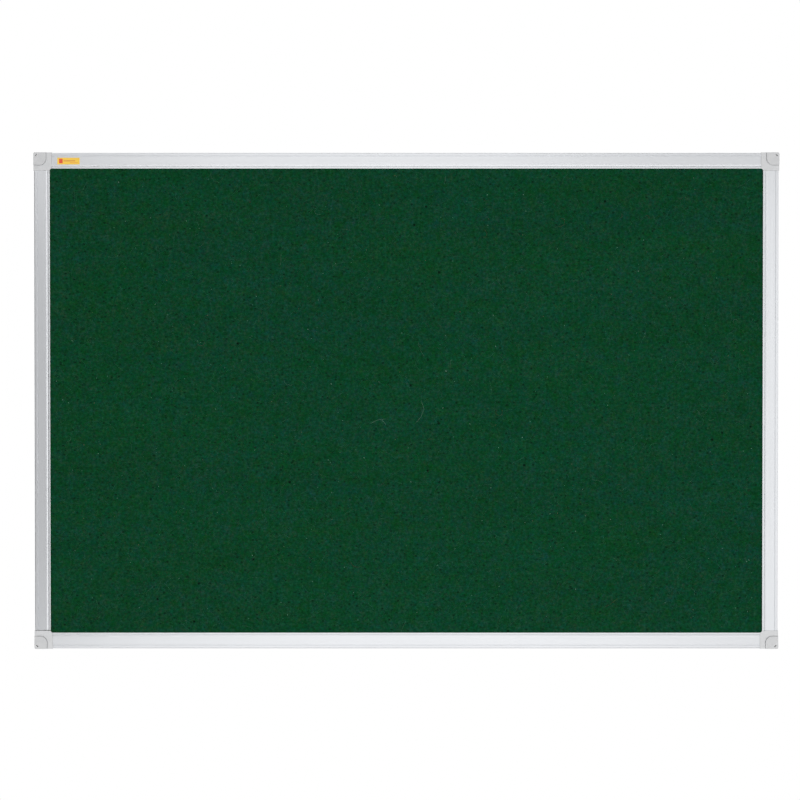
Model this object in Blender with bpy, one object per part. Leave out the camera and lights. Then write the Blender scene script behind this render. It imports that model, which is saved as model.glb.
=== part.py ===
"""Felt bulletin board, 900 x 600 mm, in a silver anodised frame with grey plastic corners.

The board is laid out lying face up: X to the right, Y up the board, Z from the wall to the room.
Its root empty then stands it up, so the finished board faces -Y and its back is on the plane
Y = 0, with the origin at the centre of the back. Lengths are in metres.

Four empties, one at each corner of the board, carry the frame. In each of them the corner
piece fills the quarter X > 0, Y < 0, and the side of the frame that starts there runs along +X.
"""

import math

import bmesh
import bpy
from mathutils import Matrix, Vector

# The whole board, measured over its corner pieces
BOARD_WIDTH = 0.900
BOARD_HEIGHT = 0.600

# The panel: felt glued on softboard, with a hardboard back
FELT_THICKNESS = 0.0018
CORE_THICKNESS = 0.0070
BACK_THICKNESS = 0.0025
GLUE_LINE = 0.0003
PANEL_CLEARANCE = 0.0003
PANEL_CLIP = 0.0030

# The frame extrusion: a closed chamber outside, an open channel for the panel inside
PROFILE_WIDTH = 0.0191
OUTER_WALL = 0.0012
WEB_WALL = 0.0012
BACK_LIP = 0.0012
FRONT_LIP = 0.0016
LIP_OVERLAP = 0.0075
BACK_LIP_REACH = 0.0055
FRONT_EDGE_RADIUS = 0.0012
BACK_EDGE_RADIUS = 0.0005
INSIDE_RADIUS = 0.0004

# The face of the extrusion: a score line, a slope, a quirk and a round-edged bead beside the felt
SCORE_SETBACK = 0.0039
SCORE_WIDTH = 0.0007
SCORE_DEPTH = 0.00035
SLOPE_WIDTH = 0.0019
SLOPE_DROP = 0.0006
QUIRK_WIDTH = 0.0006
QUIRK_FLOOR = 0.0002
QUIRK_DEPTH = 0.0010
BEAD_WIDTH = 0.0024
BEAD_DROP = 0.0001
BEAD_EDGE_RADIUS = 0.0005

# The corner pieces, which stand a little proud of the extrusion all round
CORNER_PROUD = 0.0004
INNER_FILLET = 0.0024
JOINT_GAP = 0.00015
LEFT_SIDE_SHORT = 0.0006
APEX_RADIUS = 0.0018
MOULDED_EDGE = 0.0005
CORNER_SLOPE_WIDTH = 0.0008
BACK_NOTCH_RADIUS = 0.0020

# The swivelling cap on each corner piece, the groove round it and its snap pin
PIVOT_SETBACK = 0.0035
CAP_REACH = 0.0116
CAP_CORNER_RADIUS = 0.0078
CAP_THICKNESS = 0.0013
CAP_FLOAT = 0.0002
CAP_RIM = 0.0012
CAP_SKIN = 0.0009
CAP_GROOVE_WIDTH = 0.0006
CAP_GROOVE_DEPTH = 0.0010
CAP_BOSS_WALL = 0.0013
PIN_RADIUS = 0.0019
PIN_CLEARANCE = 0.00015
FLOOR_THICKNESS = 0.0020
BARB_HEIGHT = 0.00045
BARB_LENGTH = 0.0018
BARB_PLAY = 0.0002
BARB_TIP_INSET = 0.0005
SLOT_LENGTH = 0.0030
SLOT_WIDTH = 0.0012

# The pocket and hole for a wall screw, under the cap
WALL_SCREW_SETBACK = 0.0090
WALL_SCREW_SEAT = 0.0075
HEAD_POCKET_RADIUS = 0.0040
WALL_HOLE_RADIUS = 0.00275

# Pockets that keep the moulding's walls even, open to the wall side
CORING_WALL = 0.0016
CORING_RIB = 0.0012
CORING_ROOF = 0.0028

# The legs of a corner piece, which slide into the chambers of two extrusions
LEG_LENGTH = 0.0260
LEG_ROOT = 0.0010
LEG_CLEARANCE = 0.0006
LEG_LEAD = 0.0030
LEG_LEAD_INSET = 0.0010
LEG_WALL = 0.0014
LEG_SHOULDER = 0.0040
LEG_BOSS_LENGTH = 0.0060
CRUSH_RIB_WIDTH = 0.0008
CRUSH_RIB_CLEARANCE = 0.0003
CRUSH_RIB_LENGTH = 0.0180
CRUSH_RIB_START = 0.0020

# The countersunk screws that lock the extrusions on the legs, driven from the back
LOCK_SCREW_SETBACK = 0.0120
LOCK_SCREW_LENGTH = 0.0085
LOCK_HEAD_RADIUS = 0.0027
LOCK_HEAD_RIM = 0.0002
LOCK_HEAD_HEIGHT = 0.0015
LOCK_SHANK_RADIUS = 0.00145
LOCK_TIP_LENGTH = 0.0020
LOCK_SINK = 0.0001
LOCK_CLEARANCE = 0.0002
LOCK_HOLE_SPARE = 0.0006
DRIVE_ARM_LENGTH = 0.0030
DRIVE_ARM_WIDTH = 0.0007
DRIVE_DEPTH = 0.0009

# The label near the left end of the top side
LABEL_SETBACK = 0.0288
LABEL_LENGTH = 0.0270
LABEL_HEIGHT = 0.0080
LABEL_THICKNESS = 0.00015
LABEL_RADIUS = 0.0004
LABEL_GLUE = 0.00005
LABEL_MARGIN = 0.00015

# How far a cutter runs past what it cuts, and how near points are one point
OVERRUN = 0.0010
SAME_POINT = 0.000001

# Facets: segments of a small fillet, of one edge of the bead, of a quarter sweep and of whole circles
FILLET_STEPS = 3
BEAD_STEPS = 4
SWEEP_STEPS = 10
CAP_ARC_STEPS = 20
PIN_STEPS = 24
POCKET_STEPS = 32
SCREW_STEPS = 20
SHARP_ANGLE = math.radians(32)

# Levels above the wall
PROFILE_BACK = CORNER_PROUD
CHANNEL_BACK = PROFILE_BACK + BACK_LIP
BACK_BOARD_LEVEL = CHANNEL_BACK + PANEL_CLEARANCE
CORE_LEVEL = BACK_BOARD_LEVEL + BACK_THICKNESS + GLUE_LINE
FELT_LEVEL = CORE_LEVEL + CORE_THICKNESS + GLUE_LINE
CHANNEL_FRONT = FELT_LEVEL + FELT_THICKNESS + PANEL_CLEARANCE
PROFILE_FRONT = CHANNEL_FRONT + FRONT_LIP
CORNER_FRONT = PROFILE_FRONT + CORNER_PROUD
CAP_LEVEL = CORNER_FRONT + CAP_FLOAT
CAP_FRONT = CAP_LEVEL + CAP_THICKNESS
FLOOR_UNDERSIDE = CORNER_FRONT - FLOOR_THICKNESS

# Distances in from the outer side of the board
FRAME_FACE = CORNER_PROUD + PROFILE_WIDTH
CORNER_SIZE = FRAME_FACE + INNER_FILLET
CHANNEL_SETBACK = FRAME_FACE - LIP_OVERLAP
PANEL_SETBACK = CHANNEL_SETBACK + PANEL_CLEARANCE
CHAMBER_OUTSIDE = CORNER_PROUD + OUTER_WALL
CHAMBER_INSIDE = CHANNEL_SETBACK - WEB_WALL
CHAMBER_MIDDLE = (CHAMBER_OUTSIDE + CHAMBER_INSIDE) / 2
BACK_LIP_END = CHANNEL_SETBACK + BACK_LIP_REACH
BEAD_START = FRAME_FACE - BEAD_WIDTH
QUIRK_START = BEAD_START - QUIRK_WIDTH
SLOPE_START = QUIRK_START - SLOPE_WIDTH

# The corners of the board in turn, each with the side of the frame that starts there
CORNERS = ("top_left", "top_right", "bottom_right", "bottom_left")
SIDES = ("top", "right", "bottom", "left")
SIDE_ENDS = (("left", "right"), ("top", "bottom"), ("right", "left"), ("bottom", "top"))
QUARTER_TURN = math.pi / 2
DIAGONAL = math.radians(-45)
SECTION_TO_X = Matrix(((0, 0, 1, 0), (1, 0, 0, 0), (0, 1, 0, 0), (0, 0, 0, 1)))
ACROSS_DIAGONAL = Matrix(((0, -1, 0, 0), (-1, 0, 0, 0), (0, 0, 1, 0), (0, 0, 0, 1)))


def clear_scene():
    for obj in list(bpy.data.objects):
        bpy.data.objects.remove(obj, do_unlink=True)


def material(name, colour, roughness, metallic=0.0):
    made = bpy.data.materials.new(name)
    made.use_nodes = True
    shader = made.node_tree.nodes["Principled BSDF"]
    shader.inputs["Base Color"].default_value = (*colour, 1.0)
    shader.inputs["Roughness"].default_value = roughness
    shader.inputs["Metallic"].default_value = metallic
    made.diffuse_color = (*colour, 1.0)
    return made


# Outlines


def arc(centre, radius, start, end, steps):
    """Points from one angle to another on a circle."""
    angles = [start + (end - start) * step / steps for step in range(steps + 1)]
    return [
        (centre[0] + radius * math.cos(angle), centre[1] + radius * math.sin(angle))
        for angle in angles
    ]


def circle(centre, radius, steps):
    return arc(centre, radius, 0, 2 * math.pi, steps)[:-1]


def rounded(corners):
    """The outline through corners (x, y, radius), each turned into an arc tangent to its edges."""
    points = []
    for index, (x, y, radius) in enumerate(corners):
        here = Vector((x, y))
        if radius == 0:
            points.append((x, y))
            continue
        back = (Vector(corners[index - 1][:2]) - here).normalized()
        onward = (Vector(corners[(index + 1) % len(corners)][:2]) - here).normalized()
        half = back.angle(onward) / 2
        centre = here + (back + onward).normalized() * radius / math.sin(half)
        start = here + back * radius / math.tan(half) - centre
        end = here + onward * radius / math.tan(half) - centre
        first = math.atan2(start.y, start.x)
        turn = math.atan2(start.x * end.y - start.y * end.x, start.dot(end))
        points += arc(centre, radius, first, first + turn, FILLET_STEPS)
    return points


def cap_edge(grow=0.0):
    """The free corner of the cap, about its pivot, with the outline grown by a distance."""
    reach = CAP_REACH + grow
    radius = CAP_CORNER_RADIUS + grow
    return arc((reach - radius, radius - reach), radius, 0, -math.pi / 2, CAP_ARC_STEPS)


def rectangle(left, low, right, high, radius=0):
    return rounded(
        [
            (left, low, radius),
            (right, low, radius),
            (right, high, radius),
            (left, high, radius),
        ]
    )


# Solids, each a bmesh until it becomes an object


def prism(outline, low, high, holes=()):
    """An outline in XY, with any holes, raised from one height to another."""
    bm = bmesh.new()
    edges = []
    for loop in (outline, *holes):
        verts = [bm.verts.new((x, y, low)) for x, y in loop]
        edges += [bm.edges.new(pair) for pair in zip(verts, verts[1:] + verts[:1])]
    filled = bmesh.ops.triangle_fill(bm, use_beauty=True, edges=edges)["geom"]
    faces = [item for item in filled if isinstance(item, bmesh.types.BMFace)]
    raised = bmesh.ops.extrude_face_region(bm, geom=faces)["geom"]
    verts = [item for item in raised if isinstance(item, bmesh.types.BMVert)]
    bmesh.ops.translate(bm, vec=(0, 0, high - low), verts=verts)
    bmesh.ops.recalc_face_normals(bm, faces=bm.faces)
    return bm


def block(low, high):
    return prism(rectangle(low[0], low[1], high[0], high[1]), low[2], high[2])


def turned(section, steps):
    """A section of (radius, height) points, from axis to axis, turned about Z."""
    bm = bmesh.new()
    verts = [bm.verts.new((radius, 0, height)) for radius, height in section]
    edges = [bm.edges.new(pair) for pair in zip(verts, verts[1:])]
    bmesh.ops.spin(
        bm,
        geom=verts + edges,
        cent=(0, 0, 0),
        axis=(0, 0, 1),
        angle=2 * math.pi,
        steps=steps,
    )
    bmesh.ops.remove_doubles(bm, verts=bm.verts, dist=SAME_POINT)
    bmesh.ops.recalc_face_normals(bm, faces=bm.faces)
    return bm


def swept(section, centre, start, end, steps):
    """A closed section of (radius, height) points swept about a vertical axis through centre."""
    bm = bmesh.new()
    direction = Vector((math.cos(start), math.sin(start)))
    verts = [bm.verts.new((*(direction * radius), height)) for radius, height in section]
    face = bm.faces.new(verts)
    bmesh.ops.spin(
        bm,
        geom=[*verts, *face.edges, face],
        cent=(0, 0, 0),
        axis=(0, 0, 1),
        angle=end - start,
        steps=steps,
    )
    bmesh.ops.translate(bm, vec=(*centre, 0), verts=bm.verts)
    bmesh.ops.recalc_face_normals(bm, faces=bm.faces)
    return bm


def lofted(levels):
    """A solid skinned through outlines with the same number of points, each at its height."""
    bm = bmesh.new()
    loops = [[bm.verts.new((x, y, height)) for x, y in outline] for outline, height in levels]
    bm.faces.new(loops[0])
    bm.faces.new(loops[-1])
    for lower, upper in zip(loops, loops[1:]):
        for index in range(len(lower)):
            quad = (lower[index - 1], lower[index], upper[index], upper[index - 1])
            bm.faces.new(quad)
    bmesh.ops.recalc_face_normals(bm, faces=bm.faces)
    return bm


def moved(bm, matrix):
    bmesh.ops.transform(bm, matrix=matrix, verts=bm.verts)
    bmesh.ops.recalc_face_normals(bm, faces=bm.faces)
    return bm


def softened(bm, radius, wanted):
    """Rounds the edges whose two ends and middle all satisfy wanted(point).

    The weld joins the points that the rounding leaves on top of each other, which would
    otherwise open the mesh in the cuts that follow.
    """
    edges = [
        edge
        for edge in bm.edges
        if all(wanted(vert.co) for vert in edge.verts)
        and wanted((edge.verts[0].co + edge.verts[1].co) / 2)
    ]
    bmesh.ops.bevel(
        bm,
        geom=edges,
        offset=radius,
        offset_type="OFFSET",
        segments=FILLET_STEPS,
        profile=0.5,
        affect="EDGES",
        clamp_overlap=True,
    )
    bmesh.ops.remove_doubles(bm, verts=bm.verts, dist=SAME_POINT)
    return bm


def both_arms(make):
    """The shapes that make() gives for the arm along +X, and their mirror on the arm along -Y."""
    return make() + [moved(shape, ACROSS_DIAGONAL) for shape in make()]


# Objects


def raw_object(name, bm):
    mesh = bpy.data.meshes.new(name)
    bm.to_mesh(mesh)
    bm.free()
    obj = bpy.data.objects.new(name, mesh)
    bpy.context.scene.collection.objects.link(obj)
    return obj


def carved(name, body, joins=(), cuts=()):
    """The mesh of a body with the shapes of joins added to it and those of cuts taken away."""
    base = raw_object(name, body)
    helpers = []
    for operation, shapes in (("UNION", joins), ("DIFFERENCE", cuts)):
        for shape in shapes:
            helper = raw_object("helper", shape)
            helper.hide_render = True
            helper.display_type = "WIRE"
            boolean = base.modifiers.new(operation.lower(), "BOOLEAN")
            boolean.operation = operation
            boolean.object = helper
            helpers.append(helper)
    bpy.context.view_layer.update()
    graph = bpy.context.evaluated_depsgraph_get()
    mesh = bpy.data.meshes.new_from_object(base.evaluated_get(graph))
    for obj in (base, *helpers):
        bpy.data.objects.remove(obj, do_unlink=True)
    mesh.name = name
    return mesh


def placed(name, mesh, finish, parent, location=(0, 0, 0)):
    """An object that shows a mesh in one material, at a place in its parent's space."""
    if not mesh.materials:
        mesh.materials.append(finish)
        mesh.shade_smooth()
        mesh.set_sharp_from_angle(angle=SHARP_ANGLE)
    obj = bpy.data.objects.new(name, mesh)
    bpy.context.scene.collection.objects.link(obj)
    obj.parent = parent
    obj.location = location
    return obj


def empty(name, parent=None, location=(0, 0, 0), rotation=(0, 0, 0)):
    made = bpy.data.objects.new(name, None)
    bpy.context.scene.collection.objects.link(made)
    made.parent = parent
    made.location = location
    made.rotation_euler = rotation
    return made


# The frame extrusion


def felt_side_edge(edge, front):
    """The rounded edge of the bead beside the felt, for a frame with this inner edge and front."""
    radius = BEAD_EDGE_RADIUS
    centre = (edge - radius, front - BEAD_DROP - radius)
    return arc(centre, radius, math.pi / 2, 0, BEAD_STEPS)


def face_curve(edge, front):
    """The face of the frame from the foot of its slope, over quirk and bead, to its inner edge.

    Each point is (distance in from the outer side, height above the wall)."""
    floor = front - QUIRK_DEPTH
    quirk_edge = edge - BEAD_WIDTH
    radius = BEAD_EDGE_RADIUS
    quirk_side = (quirk_edge + radius, front - BEAD_DROP - radius)
    return [
        (quirk_edge - QUIRK_WIDTH, front - SLOPE_DROP),
        (quirk_edge - QUIRK_FLOOR, floor),
        (quirk_edge, floor),
        *arc(quirk_side, radius, math.pi, math.pi / 2, BEAD_STEPS),
        *felt_side_edge(edge, front),
    ]


def profile_section():
    """The outline of the extrusion and of its chamber, as (-distance in, height) points."""
    score = CORNER_PROUD + SCORE_SETBACK
    outside = [
        (CORNER_PROUD, PROFILE_BACK, BACK_EDGE_RADIUS),
        (CORNER_PROUD, PROFILE_FRONT, FRONT_EDGE_RADIUS),
        (score - SCORE_WIDTH / 2, PROFILE_FRONT, 0),
        (score, PROFILE_FRONT - SCORE_DEPTH, 0),
        (score + SCORE_WIDTH / 2, PROFILE_FRONT, 0),
        (SLOPE_START, PROFILE_FRONT, 0),
        *[(*point, 0) for point in face_curve(FRAME_FACE, PROFILE_FRONT)],
        (FRAME_FACE, CHANNEL_FRONT, INSIDE_RADIUS),
        (CHANNEL_SETBACK, CHANNEL_FRONT, INSIDE_RADIUS),
        (CHANNEL_SETBACK, CHANNEL_BACK, INSIDE_RADIUS),
        (BACK_LIP_END, CHANNEL_BACK, INSIDE_RADIUS),
        (BACK_LIP_END, PROFILE_BACK, BACK_EDGE_RADIUS),
    ]
    chamber = rectangle(
        CHAMBER_OUTSIDE, CHANNEL_BACK, CHAMBER_INSIDE, CHANNEL_FRONT, INSIDE_RADIUS
    )
    return [(-x, y) for x, y in rounded(outside)], [(-x, y) for x, y in chamber]


def lock_screw_section(clearance=0.0, sink=0.0, length=LOCK_SCREW_LENGTH):
    """Half the section of a countersunk screw, head down, grown by a clearance."""
    return [
        (0, -sink),
        (LOCK_HEAD_RADIUS + clearance, -sink),
        (LOCK_HEAD_RADIUS + clearance, LOCK_HEAD_RIM),
        (LOCK_SHANK_RADIUS + clearance, LOCK_HEAD_HEIGHT),
        (LOCK_SHANK_RADIUS + clearance, length - LOCK_TIP_LENGTH),
        (0, length),
    ]


def lock_screw_place(along):
    return Vector((along, -CHAMBER_MIDDLE, PROFILE_BACK + LOCK_SINK))


def profile_mesh(name, start, end, screws):
    """One side of the frame, from start to end along +X, with its two countersunk holes."""
    outline, chamber = profile_section()
    body = moved(prism(outline, start, end, holes=[chamber]), SECTION_TO_X)
    cuts = []
    for along in screws:
        section = lock_screw_section(LOCK_CLEARANCE, OVERRUN)
        cutter = turned(section, SCREW_STEPS)
        cuts.append(moved(cutter, Matrix.Translation(lock_screw_place(along))))
    return carved(name, body, cuts=cuts)


# The corner piece


def leg():
    """The leg along +X: a box with a tapered tip, and crush ribs that grip the chamber."""
    left = -CHAMBER_INSIDE + LEG_CLEARANCE
    right = -CHAMBER_OUTSIDE - LEG_CLEARANCE
    low = CHANNEL_BACK + LEG_CLEARANCE
    high = CHANNEL_FRONT - LEG_CLEARANCE
    inset = LEG_LEAD_INSET
    full = rectangle(left, low, right, high)
    tip = rectangle(left + inset, low + inset, right - inset, high - inset)
    end = CORNER_SIZE + LEG_LENGTH
    levels = [(full, CORNER_SIZE - LEG_ROOT), (full, end - LEG_LEAD), (tip, end)]
    return [moved(lofted(levels), SECTION_TO_X)]


def crush_ribs():
    """Four thin ribs along a leg, the one at the back only on the solid shoulder."""
    start = CORNER_SIZE + CRUSH_RIB_START
    end = start + CRUSH_RIB_LENGTH
    shoulder = CORNER_SIZE + LEG_SHOULDER
    half = CRUSH_RIB_WIDTH / 2
    middle = (CHANNEL_BACK + CHANNEL_FRONT) / 2
    low = CHANNEL_BACK + CRUSH_RIB_CLEARANCE
    high = CHANNEL_FRONT - CRUSH_RIB_CLEARANCE
    left = -CHAMBER_INSIDE + CRUSH_RIB_CLEARANCE
    right = -CHAMBER_OUTSIDE - CRUSH_RIB_CLEARANCE
    root = LEG_CLEARANCE
    lower = -CHAMBER_MIDDLE - half
    upper = -CHAMBER_MIDDLE + half
    return [
        block((start, lower, high - root), (end, upper, high)),
        block((start, left, middle - half), (end, left + root, middle + half)),
        block((start, right - root, middle - half), (end, right, middle + half)),
        block((start, lower, low), (shoulder, upper, low + root)),
    ]


def leg_pockets():
    """Pockets that hollow a leg from the wall side, before and after the boss for its screw."""
    screw = CORNER_SIZE + LOCK_SCREW_SETBACK
    boss_start = screw - LEG_BOSS_LENGTH / 2
    boss_end = screw + LEG_BOSS_LENGTH / 2
    near = CORNER_SIZE + LEG_SHOULDER
    far = CORNER_SIZE + LEG_LENGTH - LEG_LEAD
    left = -CHAMBER_INSIDE + LEG_CLEARANCE + LEG_WALL
    right = -CHAMBER_OUTSIDE - LEG_CLEARANCE - LEG_WALL
    roof = CHANNEL_FRONT - LEG_CLEARANCE - LEG_WALL
    return [
        block((near, left, CHANNEL_BACK), (boss_start, right, roof)),
        block((boss_end, left, CHANNEL_BACK), (far, right, roof)),
    ]


def pilot_hole():
    """The hole in a leg's boss that the locking screw bites into."""
    low = PROFILE_BACK
    high = PROFILE_BACK + LOCK_SINK + LOCK_SCREW_LENGTH + LOCK_HOLE_SPARE
    place = (CORNER_SIZE + LOCK_SCREW_SETBACK, -CHAMBER_MIDDLE)
    outline = circle(place, LOCK_SHANK_RADIUS + LOCK_CLEARANCE, SCREW_STEPS)
    return [prism(outline, low, high)]


def arm_corings():
    """Two pockets, with a rib between them, in the arm that carries the leg along +X."""
    start = WALL_SCREW_SETBACK + HEAD_POCKET_RADIUS + CORING_WALL
    end = CORNER_SIZE - CORING_WALL
    outer = -CORING_WALL
    inner = -CHANNEL_SETBACK + CORING_WALL
    middle = (outer + inner) / 2
    roof = CORNER_FRONT - CORING_ROOF
    half = CORING_RIB / 2
    return [
        block((start, middle + half, -OVERRUN), (end, outer, roof)),
        block((start, inner, -OVERRUN), (end, middle - half, roof)),
    ]


def corner_body():
    """The full plan of the corner piece at its full height, with rounded outer edges."""
    size = CORNER_SIZE
    fillet = arc((size, -size), INNER_FILLET, math.pi / 2, math.pi, SWEEP_STEPS)
    apex = rounded([(0, -size, 0), (0, 0, APEX_RADIUS), (size, 0, 0)])
    body = prism([*apex, *fillet], 0, CORNER_FRONT)

    def on_an_outer_edge(point):
        outer = point.x < APEX_RADIUS + SAME_POINT or point.y > -APEX_RADIUS - SAME_POINT
        level = abs(point.z) < SAME_POINT or abs(point.z - CORNER_FRONT) < SAME_POINT
        return outer and level

    return softened(body, MOULDED_EDGE, on_an_outer_edge)


def cap_groove():
    """The groove in the face that runs round the edge of the cap, out through both outer sides."""
    side = PIVOT_SETBACK + OVERRUN
    reach = CAP_REACH + CAP_GROOVE_WIDTH
    outside = [(reach, side), *cap_edge(CAP_GROOVE_WIDTH), (-side, -reach)]
    inside = [(CAP_REACH, side), *cap_edge(), (-side, -CAP_REACH)]
    outline = [*outside, *reversed(inside)]
    strip = prism(outline, CORNER_FRONT - CAP_GROOVE_DEPTH, CORNER_FRONT + OVERRUN)
    return moved(strip, Matrix.Translation((PIVOT_SETBACK, -PIVOT_SETBACK, 0)))


def lip_cutter():
    """What is above the lip that carries the line of the bead on round the fillet."""
    level = CORNER_FRONT + OVERRUN
    edge = [(CORNER_SIZE - x, z) for x, z in felt_side_edge(FRAME_FACE, PROFILE_FRONT)]
    lip_end = CORNER_SIZE - BEAD_START
    slope_top = lip_end + CORNER_SLOPE_WIDTH
    section = [
        (slope_top, level),
        (slope_top, CORNER_FRONT),
        (lip_end, edge[0][1]),
        *edge,
        (INNER_FILLET - OVERRUN, edge[-1][1]),
        (INNER_FILLET - OVERRUN, level),
    ]
    past = OVERRUN / INNER_FILLET
    centre = (CORNER_SIZE, -CORNER_SIZE)
    return swept(section, centre, math.pi / 2 - past, math.pi + past, SWEEP_STEPS)


def panel_pocket():
    """The slot that takes the clipped corner of the panel."""
    near = CHANNEL_SETBACK
    far = CORNER_SIZE + OVERRUN
    clip = PANEL_CLIP + (2 - math.sqrt(2)) * PANEL_CLEARANCE
    outline = [(near + clip, -near), (far, -near), (far, -far), (near, -far), (near, -near - clip)]
    return prism(outline, CHANNEL_BACK, CHANNEL_FRONT)


def back_notch():
    """The opening in the back plate that follows the back lips of the two extrusions."""
    near = BACK_LIP_END
    far = CORNER_SIZE + OVERRUN
    corners = [(near, -near, BACK_NOTCH_RADIUS), (far, -near, 0), (far, -far, 0), (near, -far, 0)]
    return prism(rounded(corners), -OVERRUN, CHANNEL_BACK + OVERRUN)


def wall_screw_room():
    """The pocket for the head of a wall screw, and the hole below it."""
    place = (WALL_SCREW_SETBACK, -WALL_SCREW_SETBACK)
    pocket = circle(place, HEAD_POCKET_RADIUS, POCKET_STEPS)
    hole = circle(place, WALL_HOLE_RADIUS, PIN_STEPS)
    return [
        prism(pocket, WALL_SCREW_SEAT, CORNER_FRONT + OVERRUN),
        prism(hole, -OVERRUN, WALL_SCREW_SEAT + OVERRUN),
    ]


def pivot_room():
    """The hole that the cap's pin turns in, and the bore behind it where the barb opens out."""
    place = (PIVOT_SETBACK, -PIVOT_SETBACK)
    hole = circle(place, PIN_RADIUS + PIN_CLEARANCE, PIN_STEPS)
    bore_radius = PIN_RADIUS + BARB_HEIGHT + 2 * PIN_CLEARANCE
    bore = circle(place, bore_radius, PIN_STEPS)
    return [
        prism(hole, FLOOR_UNDERSIDE - OVERRUN, CORNER_FRONT + OVERRUN),
        prism(bore, -OVERRUN, FLOOR_UNDERSIDE),
    ]


def corner_mesh():
    joins = both_arms(leg) + both_arms(crush_ribs)
    cuts = [cap_groove(), lip_cutter(), panel_pocket(), back_notch()]
    cuts += wall_screw_room() + pivot_room()
    cuts += both_arms(pilot_hole) + both_arms(leg_pockets) + both_arms(arm_corings)
    return carved("corner_piece", corner_body(), joins, cuts)


# The swivelling cap, modelled about its pivot


def cap_plate():
    """The plate of the cap: a rounded square whose two outer sides are flush with the corner."""
    side = PIVOT_SETBACK
    apex = rounded(
        [(-side, -CAP_REACH, 0), (-side, side, APEX_RADIUS), (CAP_REACH, side, 0)]
    )
    plate = prism([*cap_edge(), *apex], CAP_LEVEL, CAP_FRONT)

    def on_the_face(point):
        return point.z > CAP_FRONT - SAME_POINT

    return softened(plate, MOULDED_EDGE, on_the_face)


def cap_coring():
    """The hollow under the cap, between its rim and the boss of its pin."""
    reach = CAP_REACH - CAP_RIM
    inner = PIN_RADIUS + CAP_BOSS_WALL
    side = PIVOT_SETBACK - CAP_RIM
    near = math.asin(side / inner)
    edge = [(reach, side), *cap_edge(-CAP_RIM), (-side, -reach)]
    boss = arc((0, 0), inner, -math.pi / 2 - near, near, SWEEP_STEPS)
    return prism([*edge, *boss], CAP_LEVEL - OVERRUN, CAP_FRONT - CAP_SKIN)


def cap_pin():
    """The pin under the cap, with a barb that holds it behind the face of the corner piece."""
    barb = FLOOR_UNDERSIDE - BARB_PLAY
    barb_radius = PIN_RADIUS + BARB_HEIGHT
    tip = barb - BARB_LENGTH
    section = [
        (0, tip),
        (PIN_RADIUS - BARB_TIP_INSET, tip),
        (barb_radius, barb - BARB_HEIGHT),
        (barb_radius, barb),
        (PIN_RADIUS, barb),
        (PIN_RADIUS, CAP_FRONT - CAP_SKIN),
        (0, CAP_FRONT - CAP_SKIN),
    ]
    return turned(section, PIN_STEPS)


def cap_slots():
    """The slot seen in the face, across the diagonal, and the wider one that splits the pin."""
    half_width = SLOT_WIDTH / 2
    half_length = SLOT_LENGTH / 2
    whole = PIN_RADIUS + BARB_HEIGHT + OVERRUN
    tip = FLOOR_UNDERSIDE - BARB_PLAY - BARB_LENGTH
    face = block(
        (-half_width, -half_length, CAP_LEVEL - OVERRUN),
        (half_width, half_length, CAP_FRONT + OVERRUN),
    )
    split = block((-half_width, -whole, tip - OVERRUN), (half_width, whole, CAP_LEVEL))
    across = Matrix.Rotation(DIAGONAL, 4, "Z")
    return [moved(face, across), moved(split, across)]


def cap_mesh():
    hollow = carved("cap_plate", cap_plate(), cuts=[cap_coring()])
    plate = bmesh.new()
    plate.from_mesh(hollow)
    bpy.data.meshes.remove(hollow)
    return carved("corner_cap", plate, joins=[cap_pin()], cuts=cap_slots())


# The screws, the panel and the label


def screw_mesh():
    """A countersunk self-tapping screw, head down, with a cross recess."""
    half_long = DRIVE_ARM_LENGTH / 2
    half_wide = DRIVE_ARM_WIDTH / 2
    arms = [
        block((-half_long, -half_wide, -OVERRUN), (half_long, half_wide, DRIVE_DEPTH)),
        block((-half_wide, -half_long, -OVERRUN), (half_wide, half_long, DRIVE_DEPTH)),
    ]
    return carved("lock_screw", turned(lock_screw_section(), SCREW_STEPS), cuts=arms)


def panel_outline():
    """The rectangle of a panel layer, with its corners clipped to clear the corner pieces."""
    right = BOARD_WIDTH / 2 - PANEL_SETBACK
    top = BOARD_HEIGHT / 2 - PANEL_SETBACK
    points = []
    for x_side, y_side in ((1, 1), (-1, 1), (-1, -1), (1, -1)):
        along = (x_side * (right - PANEL_CLIP), y_side * top)
        up = (x_side * right, y_side * (top - PANEL_CLIP))
        points += [up, along] if x_side == y_side else [along, up]
    return points


def layer_mesh(name, level, thickness):
    return carved(name, prism(panel_outline(), level, level + thickness))


def label_mesh():
    """The label, on the flat of the top side between its score line and its slope."""
    low = -(SLOPE_START - LABEL_MARGIN)
    outline = rectangle(
        LABEL_SETBACK, low, LABEL_SETBACK + LABEL_LENGTH, low + LABEL_HEIGHT, LABEL_RADIUS
    )
    level = PROFILE_FRONT + LABEL_GLUE
    return carved("label", prism(outline, level, level + LABEL_THICKNESS))


# The assembly


def corner_frames(root):
    """The empties at the board's corners, in the order of CORNERS, each turned to its side."""
    right = BOARD_WIDTH / 2
    top = BOARD_HEIGHT / 2
    places = ((-right, top), (right, top), (right, -top), (-right, -top))
    return [
        empty("at_" + name, root, (*place, 0), (0, 0, -index * QUARTER_TURN))
        for index, (name, place) in enumerate(zip(CORNERS, places))
    ]


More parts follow.
